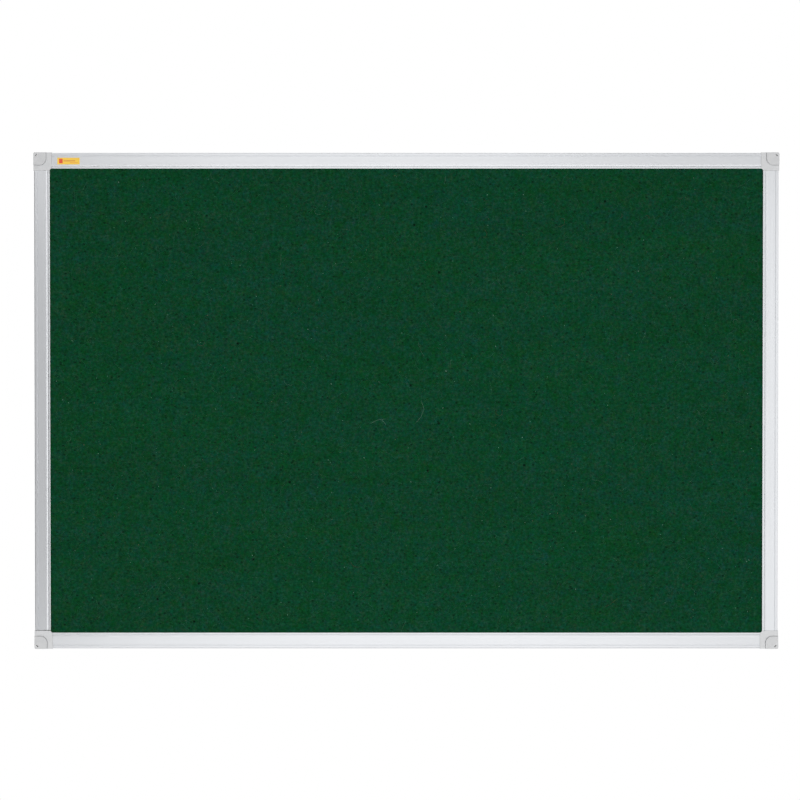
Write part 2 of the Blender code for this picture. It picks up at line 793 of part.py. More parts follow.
def add_side(index, frame, finish, screw, screw_finish):
    """One extrusion of the frame and the screws that lock its two ends."""
    side = SIDES[index]
    length = BOARD_WIDTH if side in ("top", "bottom") else BOARD_HEIGHT
    short = LEFT_SIDE_SHORT if side == "left" else 0
    start = CORNER_SIZE + JOINT_GAP + short
    end = length - CORNER_SIZE - JOINT_GAP
    screws = (
        CORNER_SIZE + LOCK_SCREW_SETBACK,
        length - CORNER_SIZE - LOCK_SCREW_SETBACK,
    )
    placed("profile_" + side, profile_mesh("profile_" + side, start, end, screws), finish, frame)
    for end_name, along in zip(SIDE_ENDS[index], screws):
        name = "screw_" + side + "_" + end_name + "_end"
        placed(name, screw, screw_finish, frame, lock_screw_place(along))


def build():
    clear_scene()
    aluminium = material("anodised_aluminium", (0.62, 0.63, 0.65), 0.34, 1.0)
    plastic = material("grey_plastic", (0.56, 0.57, 0.58), 0.45)
    steel = material("zinc_plated_steel", (0.60, 0.61, 0.63), 0.35, 1.0)
    felt = material("green_felt", (0.006, 0.045, 0.019), 0.95)
    softboard = material("softboard", (0.42, 0.28, 0.16), 0.9)
    hardboard = material("hardboard", (0.24, 0.13, 0.07), 0.6)
    film = material("yellow_film", (0.95, 0.58, 0.06), 0.4)

    root = empty("board", rotation=(QUARTER_TURN, 0, 0))
    corner = corner_mesh()
    cap = cap_mesh()
    screw = screw_mesh()
    frames = corner_frames(root)
    for index, frame in enumerate(frames):
        add_side(index, frame, aluminium, screw, steel)
        placed("corner_" + CORNERS[index], corner, plastic, frame)
        pivot = (PIVOT_SETBACK, -PIVOT_SETBACK, 0)
        placed("cap_" + CORNERS[index], cap, plastic, frame, pivot)

    placed("back_board", layer_mesh("back_board", BACK_BOARD_LEVEL, BACK_THICKNESS), hardboard, root)
    placed("core_board", layer_mesh("core_board", CORE_LEVEL, CORE_THICKNESS), softboard, root)
    placed("felt_cover", layer_mesh("felt_cover", FELT_LEVEL, FELT_THICKNESS), felt, root)
    placed("label", label_mesh(), film, frames[0])


build()
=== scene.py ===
"""Looks of the felt bulletin board: finishes, felt surface, loose fibres, screw threads and studio.

The board stands in the frame's own space: X to the right, Z up, its felt towards -Y. Lengths are
in metres, colours are linear.
"""

import math
import random

import bmesh
import bpy
import numpy as np
from mathutils import Matrix, Vector, noise

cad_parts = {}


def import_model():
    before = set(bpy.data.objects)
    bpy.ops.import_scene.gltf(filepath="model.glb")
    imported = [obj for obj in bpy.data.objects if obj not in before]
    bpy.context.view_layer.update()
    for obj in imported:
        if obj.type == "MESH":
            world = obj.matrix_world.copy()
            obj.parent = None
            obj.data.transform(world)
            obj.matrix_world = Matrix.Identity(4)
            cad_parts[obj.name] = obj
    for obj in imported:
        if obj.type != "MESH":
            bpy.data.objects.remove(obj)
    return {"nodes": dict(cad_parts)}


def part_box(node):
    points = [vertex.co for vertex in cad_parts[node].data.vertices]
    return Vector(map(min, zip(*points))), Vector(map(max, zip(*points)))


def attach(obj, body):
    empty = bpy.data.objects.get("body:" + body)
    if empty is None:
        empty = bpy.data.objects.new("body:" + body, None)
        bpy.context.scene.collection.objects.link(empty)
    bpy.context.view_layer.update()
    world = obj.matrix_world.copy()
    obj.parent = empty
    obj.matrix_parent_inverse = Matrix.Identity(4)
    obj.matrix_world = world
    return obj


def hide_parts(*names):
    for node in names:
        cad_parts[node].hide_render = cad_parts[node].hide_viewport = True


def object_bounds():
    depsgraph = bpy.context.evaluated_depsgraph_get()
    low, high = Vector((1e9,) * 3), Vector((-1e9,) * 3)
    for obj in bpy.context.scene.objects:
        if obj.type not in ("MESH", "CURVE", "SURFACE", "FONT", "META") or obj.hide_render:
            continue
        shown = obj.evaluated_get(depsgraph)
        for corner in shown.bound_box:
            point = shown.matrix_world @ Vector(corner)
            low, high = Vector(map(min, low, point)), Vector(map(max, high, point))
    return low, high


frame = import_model()
cad_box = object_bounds()

# The photograph's view of the board
PHOTO_SIZE = 800
BOARD_PIXELS = 745.1
BOARD_CENTRE_PIXEL = (406.35, 401.0)
CAMERA_DISTANCE = 3.0
CAMERA_RISE = math.radians(0.95)
SENSOR_WIDTH = 36.0

# The studio
FLOOR_DROP = 0.9
FLOOR_RADIUS = 1.7
FLOOR_SIDES = 96
FLOOR_FADE_SHARE = 0.7
WORLD_LEVEL = 0.58
BACKDROP_EDGE = 0.15

# How bright the mirrored room is from its left, -1, to its right, 1
ROOM_LEVELS = (
    (-1.0, 0.30),
    (-0.75, 0.25),
    (-0.64, 0.0),
    (-0.20, 0.0),
    (-0.10, 0.22),
    (0.5, 0.28),
    (0.7, 1.0),
    (1.0, 1.0),
)

# Steeply above and below, the mirrored room is bright on every side: how much, and from where
STEEP_LEVEL = 0.95
STEEP_FROM = 0.45
STEEP_FULL = 0.85

# Softboxes in front that face straight back: how far across and up, width, height, radiance
SOFTBOX_DISTANCE = 1.7
SOFTBOXES = {
    "front_softbox": (0.32, -0.110, 1.91, 1.28, 0.937),
    "upper_softbox": (-0.445, 0.78, 1.49, 0.50, 0.87),
    "side_softbox": (-0.90, 0.43, 0.50, 0.14, 1.40),
    "low_softbox": (-0.035, -0.93, 1.20, 0.36, 1.16),
    "lower_softbox": (-0.89, -0.92, 0.48, 0.40, 2.90),
}

# Square lamps that nothing mirrors: their place, side and radiance
LAMPS = {
    "key_lamp": ((1.3, -1.9, -0.6), 0.9, 1.9),
    "back_lamp": ((-0.8, 1.9, 1.0), 1.4, 1.2),
}

# Colours of the floor and of the board's finishes, each from dark to pale
FLOOR_COLOURS = ((0.93, 0.93, 0.93), (0.96, 0.96, 0.96))
ALUMINIUM_COLOURS = ((0.767, 0.785, 0.811), (0.837, 0.850, 0.871))
CORNER_COLOURS = ((0.634, 0.641, 0.650), (0.703, 0.709, 0.717))
CAP_COLOURS = ((0.598, 0.604, 0.612), (0.663, 0.668, 0.675))
ZINC_COLOURS = ((0.50, 0.53, 0.57), (0.66, 0.68, 0.72))
SOFTBOARD_COLOURS = ((0.30, 0.19, 0.10), (0.52, 0.37, 0.22))
HARDBOARD_COLOURS = ((0.17, 0.088, 0.042), (0.25, 0.140, 0.072))
HARDBOARD_CHIP = (0.34, 0.215, 0.120)
HARDBOARD_FLECK = (0.075, 0.036, 0.018)

# The label's film, and its printed parts: ink, and first and last share across and up
FILM_COLOURS = ((0.98, 0.585, 0.048), (1.00, 0.665, 0.076))
PRINTED_PARTS = (
    ((0.84, 0.085, 0.025), (0.08, 0.24), (0.16, 0.84)),
    ((0.74, 0.26, 0.05), (0.28, 0.80), (0.46, 0.60)),
    ((0.86, 0.34, 0.05), (0.56, 0.92), (0.20, 0.30)),
)

# The felt's ground, and the painted shade in each needle pit and in each small hole (the hole has no
# relief of its own)
FELT_COLOURS = ((0.0012, 0.0222, 0.0080), (0.0047, 0.0685, 0.0270))
PAINTED_PIT_SHADE = (0.0010, 0.0178, 0.0068)
PAINTED_HOLE_SHADE = (0.0005, 0.0095, 0.004)
FELT_SHEEN = (0.10, 0.60, 0.35)
FIBRE_TURNS = (0.2, 1.1, 1.9, 2.7)

# Tints of the felt, which its ground is multiplied by
DRIFT_TINTS = ((0.28, 0.885, 0.67), (1.72, 1.115, 1.33))
WARMTH_TINTS = ((0.38, 0.955, 0.64), (1.62, 1.045, 1.36))
FLECK_TINTS = ((0.45, 0.985, 0.84), (1.55, 1.015, 1.16))
PALENESS_TINTS = ((0.44, 0.955, 0.82), (1.56, 1.045, 1.18))
CLOUD_TINTS = ((0.84, 0.965, 0.89), (1.16, 1.035, 1.11))

# Noises of unlike scale share one centre, so the felt's is kept well off the board
NOISE_SHIFT = (3.7, 0.0, 5.3)

# Most of a noise's values lie between these, in each channel
NOISE_LOW = (0.34, 0.34, 0.34)
NOISE_HIGH = (0.66, 0.66, 0.66)

# Felt: mesh, and the frequency and depth of its relief
FELT_STEP = 0.0025
FELT_CLIP = 0.0030
RELIEF_LEVELS = ((70, 0.00006), (190, 0.00007), (330, 0.00005))

# How far loose fibres stay inside the felt's edges
EDGE_MARGIN = 0.014

# Short fibres of the felt's own pile
PILE_SEED = 7
PILE_COUNT = 9000
PILE_LENGTH = (0.0025, 0.0080)
PILE_RISE = (0.00010, 0.00030)
PILE_RADIUS = 0.00007
PILE_SIDES = 3
PILE_STEPS = 5
PILE_BEND = 1.6
PILE_COLOURS = (
    (0.012, 0.085, 0.036),
    (0.026, 0.120, 0.062),
    (0.003, 0.026, 0.010),
    (0.012, 0.080, 0.068),
    (0.050, 0.085, 0.040),
)

# Longer fibres of the pile
LONG_COUNT = 1100
LONG_LENGTH = (0.008, 0.026)
LONG_RADIUS = 0.00010
LONG_STEPS = 9
LONG_BEND = 1.8
LONG_MARGIN = LONG_LENGTH[1] / 2
LONG_COLOURS = (
    (0.026, 0.140, 0.075),
    (0.040, 0.150, 0.090),
    (0.018, 0.115, 0.080),
    (0.002, 0.018, 0.008),
)

# Pale hairs and specks that lie on the felt
LINT_SEED = 11
HAIR_COUNT = 46
HAIR_LENGTH = (0.006, 0.022)
HAIR_RISE = (0.0002, 0.0005)
HAIR_RADIUS = 0.00011
HAIR_SIDES = 4
HAIR_STEPS = 12
HAIR_BEND = 2.2
HAIR_COLOURS = (
    (0.075, 0.165, 0.110),
    (0.055, 0.140, 0.085),
    (0.035, 0.110, 0.060),
    (0.085, 0.075, 0.040),
)
SPECK_COUNT = 450
SPECK_RADIUS = (0.00022, 0.00052)
SPECK_SHAPE = (1.3, 0.5, 0.8, 1)
SPECK_TURN = (0, 3)
SPECK_COLOURS = (
    (0.190, 0.340, 0.265),
    (0.115, 0.260, 0.190),
    (0.070, 0.205, 0.140),
    (0.140, 0.120, 0.070),
)

# Hairs and specks where the photograph shows them, in its pixels, and how bright each speck is
PHOTO_HAIRS = (
    ((369, 424), (378, 420), (386, 419)),
    ((381, 420), (384, 422), (386, 425)),
    ((421, 400), (424, 409), (421, 417), (415, 424)),
)
PHOTO_HAIR_COLOUR = (0.100, 0.205, 0.140)
PHOTO_HAIR_RADIUS = HAIR_RADIUS * 1.5
PHOTO_HAIR_STEPS = 4
PHOTO_SPECK_RADIUS = SPECK_RADIUS[1] * 1.3
PHOTO_SPECKS = (
    ((446, 371), 1.0),
    ((331, 384), 0.85),
    ((379, 382), 0.40),
    ((364, 458), 0.50),
    ((411, 482), 0.50),
    ((491, 488), 0.50),
    ((470, 424), 0.50),
    ((443, 408), 0.55),
)

# Threads of the small screws
THREAD_PITCH = 0.0011
THREAD_HALF_WIDTH = THREAD_PITCH / 4
THREAD_HEIGHT = 0.0003
THREAD_SINK = 0.0001
THREAD_STEPS_A_TURN = 20
THREAD_START = 0.0019
THREAD_END = 0.0072
THREAD_FADE_SHARE = 1 / 8
SHANK_RADIUS = 0.00145

# Which edges and faces count as sharp, flat or one
SHARP_ANGLE = math.radians(35)
FLAT_ANGLE = math.radians(0.3)
SAME_POINT = 0.000002
FLAT_FACE_WEIGHT = 100
SAME_AREA = 0.000001

nodes = frame["nodes"]
felt_low, felt_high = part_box("felt_cover")
felt_face = felt_low.y


# Node graphs


class Graph:
    """The node tree of a material or a world, with a short method for each kind of node in use."""

    def __init__(self, owner):
        owner.use_nodes = True
        self.owner = owner
        self.tree = owner.node_tree
        shaders = ("BSDF_PRINCIPLED", "BACKGROUND")
        self.shader = next(node for node in self.tree.nodes if node.type in shaders)

    def add(self, kind, inputs=None, **settings):
        made = self.tree.nodes.new(kind)
        for key, value in settings.items():
            setattr(made, key, value)
        for key, value in (inputs or {}).items():
            self.put(made.inputs[key], value)
        return made

    def put(self, socket, value):
        if isinstance(value, bpy.types.NodeSocket):
            self.tree.links.new(value, socket)
        else:
            socket.default_value = value

    def set(self, **values):
        for key, value in values.items():
            self.put(self.shader.inputs[key.replace("_", " ")], value)

    def place(self, scale=(1, 1, 1), rotation=(0, 0, 0), shift=(0, 0, 0)):
        coordinates = self.add("ShaderNodeTexCoord").outputs["Object"]
        inputs = {"Vector": coordinates, "Location": shift, "Rotation": rotation, "Scale": scale}
        return self.add("ShaderNodeMapping", inputs).outputs["Vector"]

    def noise(self, vector, scale, detail=2.0, roughness=0.5):
        inputs = {"Vector": vector, "Scale": scale, "Detail": detail, "Roughness": roughness}
        return self.add("ShaderNodeTexNoise", inputs).outputs["Fac"]

    def cells(self, vector, scale, randomness=1.0):
        inputs = {"Vector": vector, "Scale": scale, "Randomness": randomness}
        return self.add("ShaderNodeTexVoronoi", inputs).outputs["Distance"]

    def span(self, value, low, high, to_low=0.0, to_high=1.0):
        """A number moved from one range to another and kept inside it."""
        inputs = {
            "Value": value,
            "From Min": low,
            "From Max": high,
            "To Min": to_low,
            "To Max": to_high,
        }
        return self.add("ShaderNodeMapRange", inputs).outputs["Result"]

    def math(self, operation, first, second=0.0):
        made = self.add("ShaderNodeMath", operation=operation)
        self.put(made.inputs[0], first)
        self.put(made.inputs[1], second)
        return made.outputs["Value"]

    def blend(self, share, first, second):
        """A number between two numbers."""
        made = self.add("ShaderNodeMix", data_type="FLOAT")
        self.put(made.inputs[0], share)
        self.put(made.inputs[2], first)
        self.put(made.inputs[3], second)
        return made.outputs[0]

    def mix(self, share, first, second, way="MIX"):
        """A colour between two colours."""
        made = self.add("ShaderNodeMix", data_type="RGBA", blend_type=way)
        self.put(made.inputs[0], share)
        self.put(made.inputs[6], first)
        self.put(made.inputs[7], second)
        return made.outputs[2]

    def shade(self, share, dark, pale):
        """A colour between two fixed ones."""
        return self.mix(share, opaque(dark), opaque(pale))

    def tints(self, vector, scale, detail, roughness, low, high):
        """Three noises as one colour, each channel spread between its own two levels."""
        inputs = {"Vector": vector, "Scale": scale, "Detail": detail, "Roughness": roughness}
        colour = self.add("ShaderNodeTexNoise", inputs).outputs["Color"]
        made = self.add("ShaderNodeMapRange", data_type="FLOAT_VECTOR")
        self.put(made.inputs[6], colour)
        self.put(made.inputs[7], NOISE_LOW)
        self.put(made.inputs[8], NOISE_HIGH)
        self.put(made.inputs[9], low)
        self.put(made.inputs[10], high)
        return made.outputs[1]

    def bump(self, height, strength, distance):
        inputs = {"Height": height, "Strength": strength, "Distance": distance}
        self.set(Normal=self.add("ShaderNodeBump", inputs).outputs["Normal"])


def opaque(colour):
    return (*colour, 1)


# Materials


def felt_material():
    """Needled felt: fibres every way, needle pit dents with painted shade in them, small spots of
    painted hole shade, and tints that drift from fibre to fibre.
    """
    graph = Graph(bpy.data.materials.new("needled_green_felt"))
    plain = graph.place(shift=NOISE_SHIFT)
    fibres = 0.0
    for turn in FIBRE_TURNS:
        across = graph.place(scale=(150, 1, 900), rotation=(0, turn, 0))
        strands = graph.span(graph.noise(across, 1.0, 2.0, 0.6), 0.46, 0.72)
        fibres = graph.math("MAXIMUM", fibres, strands)
    grain = graph.span(graph.noise(plain, 290, 2.0, 0.7), 0.28, 0.72)
    light = graph.math("ADD", graph.math("MULTIPLY", grain, 0.75), graph.math("MULTIPLY", fibres, 0.4))
    base = graph.shade(light, *FELT_COLOURS)
    warmth = graph.span(graph.noise(plain, 62, 5.0, 0.88), NOISE_LOW[0], NOISE_HIGH[0])
    paleness = graph.span(graph.noise(plain, 300, 2.0, 0.6), NOISE_LOW[0], NOISE_HIGH[0])
    bands = graph.place(scale=(0.35, 1, 1.7), shift=NOISE_SHIFT)
    tints = (
        graph.tints(plain, 75, 5.0, 0.88, *DRIFT_TINTS),
        graph.shade(warmth, *WARMTH_TINTS),
        graph.tints(plain, 340, 2.0, 0.6, *FLECK_TINTS),
        graph.shade(paleness, *PALENESS_TINTS),
        graph.tints(bands, 14, 2.0, 0.5, *CLOUD_TINTS),
    )
    for tint in tints:
        base = graph.mix(1.0, base, tint, "MULTIPLY")
    # Needle pit dents: they sink in the bump below, and their darker colour is painted shade
    pit_dents_and_shade = graph.span(graph.cells(graph.place(scale=(125, 1, 165)), 1.0, 0.9), 0.08, 0.25)
    base = graph.mix(pit_dents_and_shade, opaque(PAINTED_PIT_SHADE), base)
    # Painted shade of small hole spots, which have no relief of their own
    hole_shade_mask = graph.span(graph.cells(plain, 28), 0.026, 0.060)
    base = graph.mix(hole_shade_mask, opaque(PAINTED_HOLE_SHADE), base)
    height = graph.math("ADD", graph.math("MULTIPLY", fibres, 0.5), graph.math("MULTIPLY", grain, 0.7))
    height = graph.math("ADD", height, graph.math("MULTIPLY", pit_dents_and_shade, 0.6))
    graph.set(Base_Color=base, Roughness=0.95, Sheen_Weight=0.05, Sheen_Roughness=0.5)
    graph.set(Sheen_Tint=opaque(FELT_SHEEN), Specular_IOR_Level=0.08)
    graph.bump(height, 0.55, 0.0003)
    return graph.owner


def fibre_material():
    """Loose fibres and specks, each in the colour that its mesh gives it."""
    graph = Graph(bpy.data.materials.new("loose_fibres"))
    colour = graph.add("ShaderNodeVertexColor", layer_name="fibre_colour").outputs["Color"]
    graph.set(Base_Color=colour, Roughness=0.8, Specular_IOR_Level=0.25)
    graph.bump(graph.noise(graph.place(), 4000, 2.0), 0.3, 0.00003)
    return graph.owner


def aluminium_material(name, axis, stretch):
    """Silver anodised extrusion, with die lines along its length."""
    graph = Graph(bpy.data.materials.new(name))
    lines = graph.noise(graph.place(scale=stretch), 1.0, 3.0, 0.6)
    bloom = graph.noise(graph.place(), 9, 3.0, 0.55)
    tone = graph.math("ADD", graph.math("MULTIPLY", lines, 0.6), graph.math("MULTIPLY", bloom, 0.4))
    tangent = graph.add("ShaderNodeTangent", direction_type="RADIAL", axis=axis).outputs["Tangent"]
    graph.set(Base_Color=graph.shade(tone, *ALUMINIUM_COLOURS), Metallic=1.0)
    graph.set(Anisotropic=0.7, Tangent=tangent)
    graph.set(Roughness=graph.span(lines, 0.3, 0.7, 0.30, 0.40))
    graph.bump(lines, 0.10, 0.00002)
    return graph.owner


def plastic_material(name, colours):
    """Light grey moulding with a fine spark-eroded grain, cloudy between two greys."""
    graph = Graph(bpy.data.materials.new(name))
    grain = graph.noise(graph.place(), 2600, 2.0, 0.6)
    cloud = graph.span(graph.noise(graph.place(), 150, 5.0, 0.8), 0.28, 0.72)
    graph.set(Base_Color=graph.shade(cloud, *colours))
    graph.set(Roughness=graph.span(grain, 0.3, 0.7, 0.42, 0.55))
    graph.bump(grain, 0.35, 0.00003)
    return graph.owner


def screw_material():
    """Zinc plating with a faint blue cast and fine tool marks."""
    graph = Graph(bpy.data.materials.new("zinc_plating"))
    marks = graph.noise(graph.place(), 1800, 3.0, 0.6)
    graph.set(Base_Color=graph.shade(marks, *ZINC_COLOURS), Metallic=1.0)
    graph.set(Roughness=graph.span(marks, 0.3, 0.7, 0.24, 0.42))
    graph.bump(marks, 0.15, 0.00002)
    return graph.owner


def hardboard_material():
    """The back: pressed wood fibre with the print of the wire screen it was pressed on."""
    graph = Graph(bpy.data.materials.new("pressed_hardboard"))
    plain = graph.place()
    clouds = graph.noise(plain, 14, 4.0, 0.6)
    chips = graph.noise(graph.place(scale=(260, 1, 700), rotation=(0, 0.3, 0)), 1.0, 3.0, 0.7)
    flecks = graph.noise(plain, 900, 2.0, 0.6)
    colour = graph.shade(clouds, *HARDBOARD_COLOURS)
    chipped = graph.span(chips, 0.55, 0.75, 0.0, 0.55)
    colour = graph.mix(chipped, colour, opaque(HARDBOARD_CHIP))
    flecked = graph.span(flecks, 0.62, 0.78, 0.0, 0.6)
    colour = graph.mix(flecked, colour, opaque(HARDBOARD_FLECK))
    inputs = {"Vector": plain, "Scale": 95.0, "Distortion": 0.6}
    wires = [graph.add("ShaderNodeTexWave", inputs, bands_direction=way) for way in "XZ"]
    screen = graph.math("MULTIPLY", *(wire.outputs["Fac"] for wire in wires))
    height = graph.math("ADD", screen, graph.math("MULTIPLY", chips, 0.8))
    graph.set(Base_Color=colour, Roughness=graph.span(flecks, 0.3, 0.7, 0.58, 0.78))
    graph.bump(height, 0.5, 0.00015)
    return graph.owner


def softboard_material():
    """The core: loosely pressed wood fibre."""
    graph = Graph(bpy.data.materials.new("pressed_softboard"))
    fibre = graph.noise(graph.place(scale=(300, 300, 900)), 1.0, 4.0, 0.7)
    pores = graph.cells(graph.place(), 900)
    graph.set(Base_Color=graph.shade(fibre, *SOFTBOARD_COLOURS), Roughness=0.92)
    graph.bump(graph.math("ADD", fibre, pores), 0.6, 0.0003)
    return graph.owner


def label_material():
    """Yellow film with a plain printed band and two plain rules."""
    graph = Graph(bpy.data.materials.new("printed_yellow_film"))
    low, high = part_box("label")
    size = high - low
    spread = graph.noise(graph.place(), 700, 2.0, 0.5)
    colour = graph.shade(spread, *FILM_COLOURS)
    x, _, z = graph.add("ShaderNodeSeparateXYZ", {"Vector": graph.place()}).outputs

    def between(value, start, whole, first_share, last_share):
        past_first = graph.math("GREATER_THAN", value, start + whole * first_share)
        before_last = graph.math("LESS_THAN", value, start + whole * last_share)
        return graph.math("MULTIPLY", past_first, before_last)

    for ink, across, up in PRINTED_PARTS:
        columns = between(x, low.x, size.x, *across)
        rows = between(z, low.z, size.z, *up)
        colour = graph.mix(graph.math("MULTIPLY", columns, rows), colour, opaque(ink))
    graph.set(Base_Color=colour, Roughness=0.32, Coat_Weight=0.15, Coat_Roughness=0.2)
    graph.bump(spread, 0.08, 0.00003)
    return graph.owner


# Meshes


def new_object(name, mesh, material):
    mesh.materials.clear()
    mesh.materials.append(material)
    obj = bpy.data.objects.new(name, mesh)
    bpy.context.scene.collection.objects.link(obj)
    return obj


def on_board(obj):
    """Lets a new object move with the board."""
    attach(obj, "board")


def shading_group():
    """Marks a solid's edges, so that its curves shade smooth and its corners stay crisp."""
    group = bpy.data.node_groups.new("smooth_curves", "GeometryNodeTree")
    group.interface.new_socket("Geometry", in_out="INPUT", socket_type="NodeSocketGeometry")
    group.interface.new_socket("Geometry", in_out="OUTPUT", socket_type="NodeSocketGeometry")
    start = group.nodes.new("NodeGroupInput")
    faces = group.nodes.new("GeometryNodeSetShadeSmooth")
    edges = group.nodes.new("GeometryNodeSetShadeSmooth")
    edges.domain = "EDGE"
    angle = group.nodes.new("GeometryNodeInputMeshEdgeAngle")
    curved = group.nodes.new("FunctionNodeCompare")
    curved.operation = "LESS_THAN"
    curved.inputs["B"].default_value = SHARP_ANGLE
    end = group.nodes.new("NodeGroupOutput")
    group.links.new(start.outputs[0], faces.inputs["Geometry"])
    group.links.new(faces.outputs["Geometry"], edges.inputs["Geometry"])
    group.links.new(angle.outputs["Unsigned Angle"], curved.inputs["A"])
    group.links.new(curved.outputs["Result"], edges.inputs["Shade Smooth"])
    group.links.new(edges.outputs["Geometry"], end.inputs[0])
    return group


def finish_node(node, material, shading):
    """Gives a CAD node its material, and smooth normals over its curves."""
    obj = nodes[node]
    obj.material_slots[0].material = material
    obj.modifiers.new("one_skin", "WELD").merge_threshold = SAME_POINT
    whole = obj.modifiers.new("whole_faces", "DECIMATE")
    whole.decimate_type = "DISSOLVE"
    whole.angle_limit = FLAT_ANGLE
    obj.modifiers.new("smooth_curves", "NODES").node_group = shading
    flat = obj.modifiers.new("flat_faces", "WEIGHTED_NORMAL")
    flat.keep_sharp = True
    flat.weight = FLAT_FACE_WEIGHT
    flat.thresh = SAME_AREA


def closed_mesh(name, points, faces):
    """A mesh whose faces all look outwards."""
    mesh = bpy.data.meshes.new(name)
    mesh.from_pydata(points, [], faces)
    bm = bmesh.new()
    bm.from_mesh(mesh)
    bmesh.ops.recalc_face_normals(bm, faces=bm.faces)
    bm.to_mesh(mesh)
    bm.free()
    return mesh


def felt_surface(x, z):
    """The depth of the felt's face at a place on the board, with its relief."""
    place = Vector((x, 0, z))
    return felt_face - sum(depth * noise.noise(place * frequency) for frequency, depth in RELIEF_LEVELS)


def felt_mesh():
    """A closed slab whose face has the felt's soft relief and whose corners are clipped."""
    columns = round((felt_high.x - felt_low.x) / FELT_STEP)
    rows = round((felt_high.z - felt_low.z) / FELT_STEP)
    xs = np.linspace(felt_low.x, felt_high.x, columns + 1)
    zs = np.linspace(felt_low.z, felt_high.z, rows + 1)
    points = []
    for z in zs:
        for x in xs:
            past = abs(x) + abs(z) - (felt_high.x + felt_high.z - FELT_CLIP)
            cut = max(0, past) / 2
            px = x - math.copysign(cut, x)
            pz = z - math.copysign(cut, z)
            points.append((px, felt_surface(px, pz), pz))
    wide = columns + 1  # points in a row
    faces = [
        (k, k + 1, k + wide + 1, k + wide)
        for row in range(rows)
        for k in range(row * wide, row * wide + columns)
    ]
    rim = list(range(columns))
    rim += [columns + row * wide for row in range(rows)]
    rim += [rows * wide + column for column in range(columns, 0, -1)]
    rim += [row * wide for row in range(rows, 0, -1)]
    first_back = len(points)
    points += [(points[k][0], felt_high.y, points[k][2]) for k in rim]
    count = len(rim)
    for k in range(count):
        after = (k + 1) % count
        faces.append((rim[after], rim[k], first_back + k, first_back + after))
    faces.append(tuple(first_back + k for k in range(count)))
    mesh = closed_mesh("felt", points, faces)
    mesh.shade_smooth()
    mesh.set_sharp_from_angle(angle=SHARP_ANGLE)
    return mesh


class Strands:
    """Many thin closed tubes or grains in one mesh, each with its own colour."""

    def __init__(self):
        self.points = []
        self.faces = []
        self.colours = []

    def tube(self, line, radius, sides, colour):
        """A tube along a line of points, drawn to a point at both ends."""
        first = len(self.points)
        self.points.append(line[0])
        for before, here, after in zip(line, line[1:-1], line[2:]):
            along = (after - before).normalized()
            side = along.cross(Vector((0, 1, 0))).normalized()
            up = side.cross(along)
            for k in range(sides):
                angle = 2 * math.pi * k / sides
                self.points.append(here + (side * math.cos(angle) + up * math.sin(angle)) * radius)
        self.points.append(line[-1])
        rings = len(line) - 2
        last = len(self.points) - 1
        for k in range(sides):
            after = (k + 1) % sides
            self.faces.append((first, first + 1 + after, first + 1 + k))
            for ring in range(rings - 1):
                near = first + 1 + ring * sides
                far = near + sides
                self.faces.append((near + k, near + after, far + after, far + k))
            end = first + 1 + (rings - 1) * sides
            self.faces.append((end + k, end + after, last))
        self.colours += [opaque(colour)] * (len(self.points) - first)

    def grain(self, centre, radius, colour, turn):
        """A small flattened speck of fibre."""
        bm = bmesh.new()
        bmesh.ops.create_icosphere(bm, subdivisions=1, radius=radius)
        shape = Matrix.Rotation(turn, 4, "Y") @ Matrix.Diagonal(SPECK_SHAPE)
        bmesh.ops.transform(bm, matrix=Matrix.Translation(centre) @ shape, verts=bm.verts)
        first = len(self.points)
        self.points += [vert.co.copy() for vert in bm.verts]
        self.faces += [tuple(first + vert.index for vert in face.verts) for face in bm.faces]
        self.colours += [opaque(colour)] * len(bm.verts)
        bm.free()

    def mesh(self, name):
        mesh = bpy.data.meshes.new(name)
        mesh.from_pydata(self.points, [], self.faces)
        colours = mesh.color_attributes.new("fibre_colour", "FLOAT_COLOR", "POINT")
        colours.data.foreach_set("color", np.array(self.colours, np.float32).ravel())
        mesh.color_attributes.active_color = colours
        mesh.shade_smooth()
        return mesh


def random_place(chance, margin=EDGE_MARGIN):
    """A place on the felt, at least a margin away from its edges."""
    return (
        chance.uniform(felt_low.x + margin, felt_high.x - margin),
        chance.uniform(felt_low.z + margin, felt_high.z - margin),
    )


def lying_line(chance, start, length, steps, bend, rise):
    """A wandering line over the felt whose two ends go into it."""
    heading = chance.uniform(0, 2 * math.pi)
    turn = chance.gauss(0, bend)
    step = length / steps
    x, z = start
    line = []
    for k in range(steps + 1):
        lift = rise * math.sin(math.pi * k / steps)
        line.append(Vector((x, felt_surface(x, z) + PILE_RADIUS - lift, z)))
        heading += turn / steps + chance.gauss(0, bend) / steps
        x += step * math.cos(heading)
        z += step * math.sin(heading)
    return line


def pile():
    """The felt's own fibres, short and long, that lie on its face."""
    chance = random.Random(PILE_SEED)
    strands = Strands()
    for _ in range(PILE_COUNT):
        length = chance.uniform(*PILE_LENGTH)
        rise = chance.uniform(*PILE_RISE)
        start = random_place(chance)
        line = lying_line(chance, start, length, PILE_STEPS, PILE_BEND, rise)
        strands.tube(line, PILE_RADIUS, PILE_SIDES, chance.choice(PILE_COLOURS))
    for _ in range(LONG_COUNT):
        length = chance.uniform(*LONG_LENGTH)
        rise = chance.uniform(*PILE_RISE)
        start = random_place(chance, LONG_MARGIN)
        line = lying_line(chance, start, length, LONG_STEPS, LONG_BEND, rise)
        strands.tube(line, LONG_RADIUS, PILE_SIDES, chance.choice(LONG_COLOURS))
    return strands.mesh("felt_pile")


def photo_place(pixel):
    """The place on the board's face that the photograph shows at a pixel."""
    scale = (cad_box[1][0] - cad_box[0][0]) / BOARD_PIXELS
    across = (pixel[0] - BOARD_CENTRE_PIXEL[0]) * scale
    up = (BOARD_CENTRE_PIXEL[1] - pixel[1]) * scale
    return across, up


